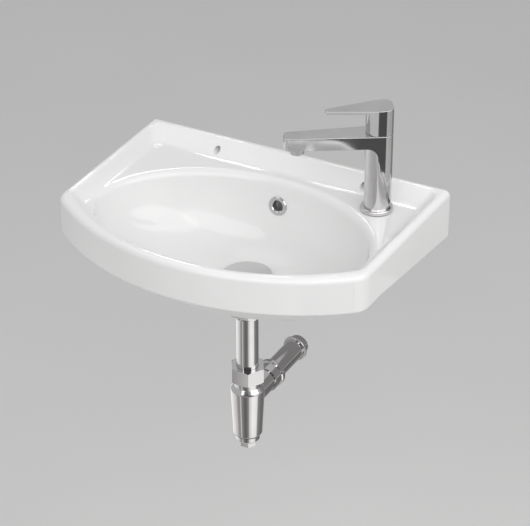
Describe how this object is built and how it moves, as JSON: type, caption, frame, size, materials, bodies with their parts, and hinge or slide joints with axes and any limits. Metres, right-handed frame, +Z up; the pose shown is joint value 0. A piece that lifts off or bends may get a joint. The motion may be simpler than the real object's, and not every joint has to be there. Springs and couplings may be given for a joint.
{
  "type": "wall-hung basin",
  "caption": "Small wall-hung ceramic basin with an oval bowl, bowed front, side pillar tap with turning lever, push-open waste and chrome bottle trap to the wall.",
  "frame": {"origin": "midpoint between the two wall fixing holes, on the wall plane", "axes": "+Z up, +Y into the wall, +X to the right for someone who faces the basin"},
  "size_m": [0.45, 0.3419, 0.519],
  "materials": {
    "glazed_ceramic": "gloss",
    "bright_chrome": "polished",
    "satin_cap": "satin",
    "plain_brass": "satin",
    "plain_steel": "satin",
    "black_rubber": "matte",
    "valve_ceramic": "satin",
    "white_plastic": "matte"
  },
  "bodies": {
    "basin": {"aerator_insert": "white_plastic", "aerator_seal": "black_rubber", "aerator_shell": "bright_chrome", "basin": "glazed_ceramic", "click_housing": "white_plastic", "fixed_disc": "valve_ceramic", "headwork_body": "plain_brass", "headwork_seal": "black_rubber", "outlet_tube": "bright_chrome", "overflow_ring": "bright_chrome", "tail_tube": "bright_chrome", "tail_union_nut": "bright_chrome", "tail_union_washer": "black_rubber", "tap_back_nut": "plain_brass", "tap_base_ring": "bright_chrome", "tap_base_seal": "black_rubber", "tap_body": "bright_chrome", "tap_clamp_washer": "plain_steel", "tap_tail": "plain_brass", "tap_under_washer": "black_rubber", "trap_body": "bright_chrome", "trap_cup": "bright_chrome", "trap_cup_seal": "black_rubber", "trap_inlet_nut": "bright_chrome", "trap_inlet_seal": "black_rubber", "trap_outlet_nut": "bright_chrome", "trap_outlet_seal": "black_rubber", "wall_collar": "bright_chrome", "waste_back_nut": "plain_brass", "waste_body": "bright_chrome", "waste_bottom_seal": "black_rubber", "waste_top_seal": "black_rubber"},
    "lever": {"lever": "bright_chrome", "lever_screw": "plain_steel", "lever_plug": "bright_chrome", "spindle": "plain_brass", "spindle_ring": "black_rubber", "turning_disc": "valve_ceramic"},
    "plug": {"waste_cap": "satin_cap", "waste_cap_seal": "black_rubber", "click_stem": "plain_brass"}
  },
  "joints": [
    {"name": "lever_turn", "type": "hinge", "parent": "basin", "child": "lever", "pos_m": [0.147, -0.058, 0.12], "axis": [0, 0, 1], "range_deg": [0, 90]},
    {"name": "plug_slide", "type": "slide", "parent": "basin", "child": "plug", "axis": [0, 0, 1], "range_m": [0, 0.008]}
  ]
}
